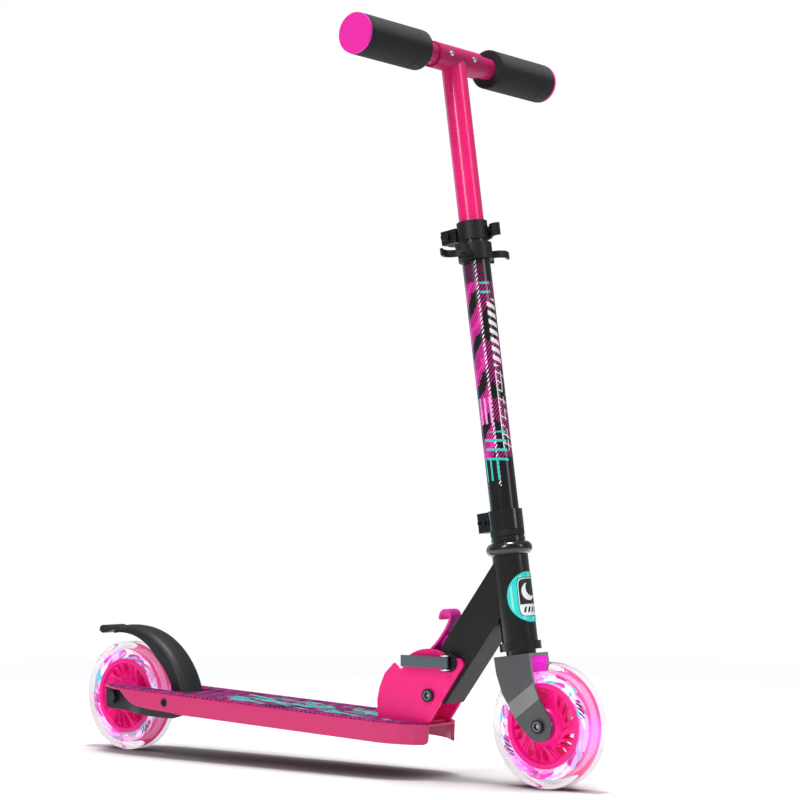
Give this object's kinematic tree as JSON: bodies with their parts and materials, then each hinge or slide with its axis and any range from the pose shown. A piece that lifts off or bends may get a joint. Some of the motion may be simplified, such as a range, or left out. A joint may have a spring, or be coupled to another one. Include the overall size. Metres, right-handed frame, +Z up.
{
  "type": "kick scooter",
  "caption": "Child's folding kick scooter with adjustable T-bar, fold latch, light-up wheels, foam grips and a sprung rear fender brake.",
  "frame": {"origin": "on the ground under the middle of the wheelbase", "axes": "+X forwards, the riding direction; +Y to the rider's left; +Z up"},
  "size_m": [0.687, 0.31, 0.74],
  "materials": {
    "pink_paint": "gloss powder coat",
    "deck_print": "printed non-slip sheet",
    "black_paint": "gloss powder coat",
    "fork_paint": "satin graphite",
    "dark_bolt": "black oxide",
    "steel": "bright",
    "bright_chrome": "polished",
    "black_plastic": "moulded nylon",
    "clear_tyre": "clear cast polyurethane",
    "wheel_print": "printed pattern",
    "wheel_pink": "moulded",
    "light_unit": "potted light ring",
    "foam": "foam",
    "cap_pink": "moulded"
  },
  "bodies": {
    "deck": {"deck_pan": "pink_paint", "deck_grip": "deck_print", "fold_bracket": "pink_paint", "fold_bolt": "dark_bolt", "fold_washers": "black_plastic", "deck_nuts": "dark_bolt", "rear_dropout_left": "black_paint", "rear_dropout_right": "black_paint", "rear_axle_bolt": "dark_bolt", "rear_axle_spacers": "steel", "fender_bolt": "dark_bolt", "fender_spring": "steel"},
    "neck": {"down_tube": "black_paint", "head_tube": "black_paint", "lower_cup": "black_paint", "upper_cup": "black_paint"},
    "latch": {"latch_hook": "pink_paint", "latch_skewer": "steel", "latch_hub": "bright_chrome", "latch_nut": "bright_chrome", "latch_springs": "steel"},
    "latch_lever": {"latch_lever": "steel"},
    "steering": {"fork": "fork_paint", "steerer": "steel", "crown_race": "black_paint", "headset_balls": "steel", "headset_cone": "black_paint", "lock_nut": "black_paint", "stem_collar": "black_paint", "stem_bolt": "dark_bolt", "outer_tube": "black_paint", "clip_holder": "black_plastic", "height_clamp": "black_plastic", "clamp_bolt": "black_plastic", "clamp_nut": "black_plastic", "front_axle_bolt": "dark_bolt", "front_axle_nut": "dark_bolt", "front_axle_spacers": "steel"},
    "front_wheel": {"front_tyre": "clear_tyre", "front_print_band": "wheel_print", "front_wheel_core": "wheel_pink", "front_bearings": "steel", "front_light_sleeve": "light_unit"},
    "rear_wheel": {"rear_tyre": "clear_tyre", "rear_print_band": "wheel_print", "rear_wheel_core": "wheel_pink", "rear_bearings": "steel", "rear_light_sleeve": "light_unit"},
    "fender": {"fender": "black_plastic"},
    "t_bar": {"t_tube": "pink_paint", "bar_sleeve": "pink_paint", "handlebar_left": "pink_paint", "handlebar_right": "pink_paint", "grip_left": "foam", "grip_right": "foam", "end_caps": "cap_pink", "button_springs": "steel"},
    "height_lever": {"height_lever": "black_plastic"},
    "button_left": {"snap_button_left": "bright_chrome"},
    "button_right": {"snap_button_right": "bright_chrome"}
  },
  "joints": [
    {"name": "fold", "type": "hinge", "parent": "deck", "child": "neck", "pos_m": [0.152, 0, 0.08285], "axis": [0, -1, 0], "range_deg": [0, 78]},
    {"name": "latch_slide", "type": "slide", "parent": "neck", "child": "latch", "axis": [0.6088, 0, 0.7934], "range_m": [-0.0045, 0]},
    {"name": "latch_lever_turn", "type": "hinge", "parent": "latch", "child": "latch_lever", "pos_m": [0.17781, -0.0253, 0.11649], "axis": [0, 0, 1], "range_deg": [0, 120]},
    {"name": "steer", "type": "hinge", "parent": "neck", "child": "steering", "pos_m": [0.26092, 0, 0.05687], "axis": [-0.1374, 0, 0.9905], "continuous": true},
    {"name": "front_wheel_spin", "type": "hinge", "parent": "steering", "child": "front_wheel", "pos_m": [0.2835, 0, 0.06], "axis": [0, 1, 0], "continuous": true},
    {"name": "rear_wheel_spin", "type": "hinge", "parent": "deck", "child": "rear_wheel", "pos_m": [-0.2835, 0, 0.06], "axis": [0, 1, 0], "continuous": true},
    {"name": "brake_press", "type": "hinge", "parent": "deck", "child": "fender", "pos_m": [-0.1865, 0, 0.0596], "axis": [0, -1, 0], "range_deg": [0, 7], "stiffness_Nm_per_rad": 0.5, "springref_deg": -20.05},
    {"name": "bar_height", "type": "slide", "parent": "steering", "child": "t_bar", "axis": [-0.1374, 0, 0.9905], "range_m": [-0.14, 0.06]},
    {"name": "height_lever_turn", "type": "hinge", "parent": "steering", "child": "height_lever", "pos_m": [0.16782, 0.0151, 0.53859], "axis": [-0.1374, 0, 0.9905], "range_deg": [0, 120]},
    {"name": "button_left_press", "type": "slide", "parent": "t_bar", "child": "button_left", "axis": [-0.9905, 0, -0.1374], "range_m": [0, 0.003], "stiffness_N_per_m": 500, "springref_m": -0.002},
    {"name": "button_right_press", "type": "slide", "parent": "t_bar", "child": "button_right", "axis": [-0.9905, 0, -0.1374], "range_m": [0, 0.003], "stiffness_N_per_m": 500, "springref_m": -0.002}
  ]
}
